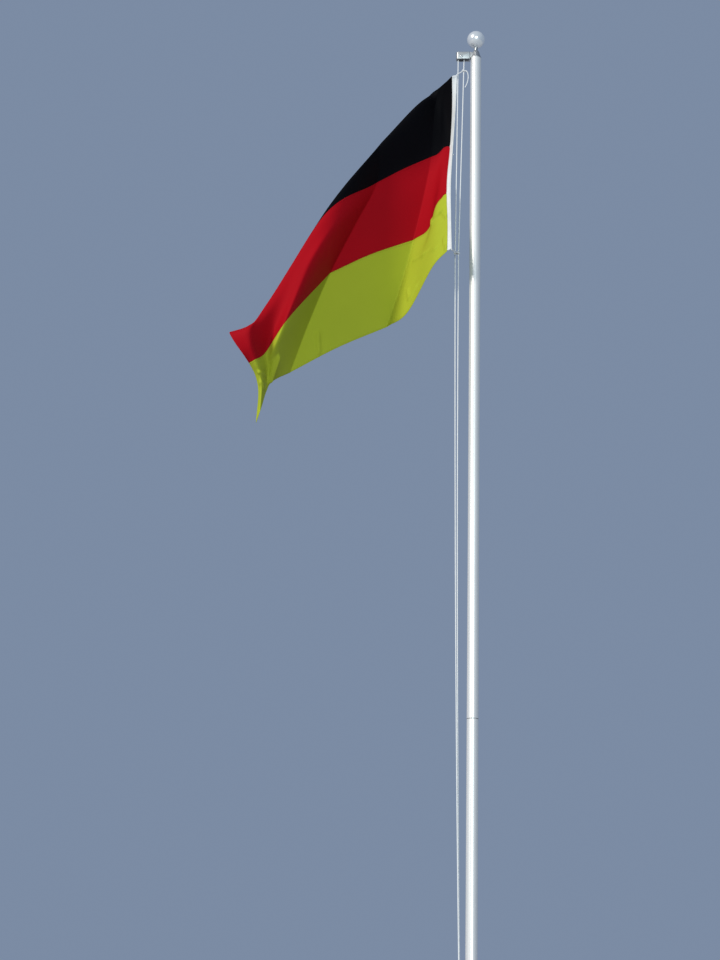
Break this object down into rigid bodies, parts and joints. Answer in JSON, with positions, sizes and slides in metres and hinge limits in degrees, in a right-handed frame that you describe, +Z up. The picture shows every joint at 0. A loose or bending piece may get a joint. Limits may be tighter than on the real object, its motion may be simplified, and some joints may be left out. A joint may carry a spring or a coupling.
{
  "type": "flagpole",
  "caption": "Tall two-section aluminium flagpole with a ball finial, a pulley arm, a halyard tied off on a cleat, and a striped flag hoisted on it.",
  "frame": {"origin": "on the pole's axis at ground level, on the flat foot of the pole", "axes": "+Z up along the pole, -X towards the pulley arm and the flag, -Y towards the picture's camera"},
  "size_m": [1.3109, 0.5896, 7.17],
  "materials": {
    "satin_aluminium": "satin",
    "mill_aluminium": "mill",
    "cast_aluminium": "cast, lightly blasted",
    "polished_ball": "polished",
    "pin_steel": "turned",
    "sheave_plastic": "moulded",
    "sleeve_plastic": "moulded",
    "halyard_rope": "braided",
    "tie_cord": "braided",
    "black_cloth": "woven polyester",
    "red_cloth": "woven polyester",
    "gold_cloth": "woven polyester",
    "heading_canvas": "canvas"
  },
  "bodies": {
    "mast": {"lower_pole_tube": "satin_aluminium", "upper_pole_tube": "satin_aluminium", "joint_spigot": "mill_aluminium", "foot_plug": "sleeve_plastic", "ground_collar": "sleeve_plastic", "top_cap": "cast_aluminium", "finial_ball": "polished_ball", "pulley_arm": "cast_aluminium", "sheave_pin": "pin_steel", "cleat": "cast_aluminium", "halyard_over_sheave": "halyard_rope", "halyard_upper_left": "halyard_rope", "halyard_upper_right": "halyard_rope", "halyard_lower_left": "halyard_rope", "halyard_lower_right": "halyard_rope", "halyard_cleat_turns": "halyard_rope"},
    "sheave": {"sheave": "sheave_plastic"},
    "flag": {"flag_black_stripe": "black_cloth", "flag_red_stripe": "red_cloth", "flag_gold_stripe": "gold_cloth", "flag_heading": "heading_canvas", "halyard_flag_left": "halyard_rope", "halyard_flag_right": "halyard_rope", "top_tie": "tie_cord", "top_knot": "tie_cord", "top_knot_tail": "tie_cord", "bottom_tie": "tie_cord", "bottom_knot": "tie_cord"}
  },
  "joints": [
    {"name": "flag_hoist", "type": "slide", "parent": "mast", "child": "flag", "axis": [0, 0, -1], "range_m": [0, 4.4], "deforming": ["halyard_upper_left", "halyard_upper_right", "halyard_lower_left", "halyard_lower_right"]},
    {"name": "sheave_spin", "type": "hinge", "parent": "mast", "child": "sheave", "pos_m": [-0.0825, 0, 7.008], "axis": [0, 1, 0], "continuous": true}
  ],
  "couplings": [
    {"joint": "sheave_spin", "follows": "flag_hoist", "rad_per_m": 60.606}
  ]
}
